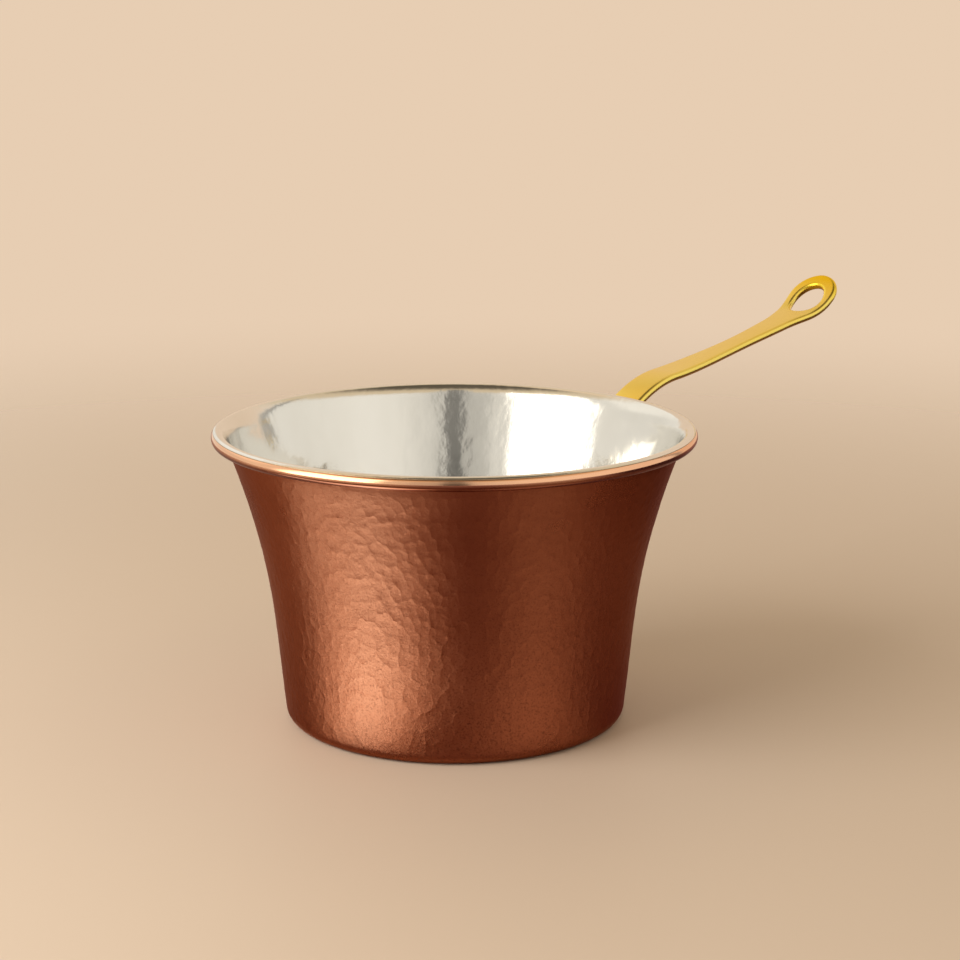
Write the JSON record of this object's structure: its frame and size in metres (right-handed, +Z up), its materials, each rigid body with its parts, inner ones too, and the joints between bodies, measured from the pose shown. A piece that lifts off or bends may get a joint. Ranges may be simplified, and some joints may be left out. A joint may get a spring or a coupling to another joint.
{
  "type": "polenta pot",
  "caption": "Hammered copper polenta pot with a flared wall, tin lining, wired rolled rim and a long riveted brass handle that ends in a hanging eye.",
  "frame": {"origin": "centre of the pot's base, on the surface that it stands on", "axes": "+Z up along the pot's axis; +X runs out from the axis under the handle"},
  "size_m": [0.4722, 0.26, 0.2091],
  "materials": {
    "hammered_copper": "hammered and brushed copper with a satin shine",
    "tin": "softly hammered bright tin, smooth on the lip",
    "iron_wire": "plain drawn iron wire",
    "cast_brass": "cast brass, polished",
    "rivet_copper": "peened copper"
  },
  "bodies": {
    "root": {"pot_body": "hammered_copper", "tin_lining": "tin", "rim_wire": "iron_wire", "handle": "cast_brass", "rivet_upper_left": "rivet_copper", "rivet_upper_right": "rivet_copper", "rivet_lower": "rivet_copper"}
  },
  "joints": []
}
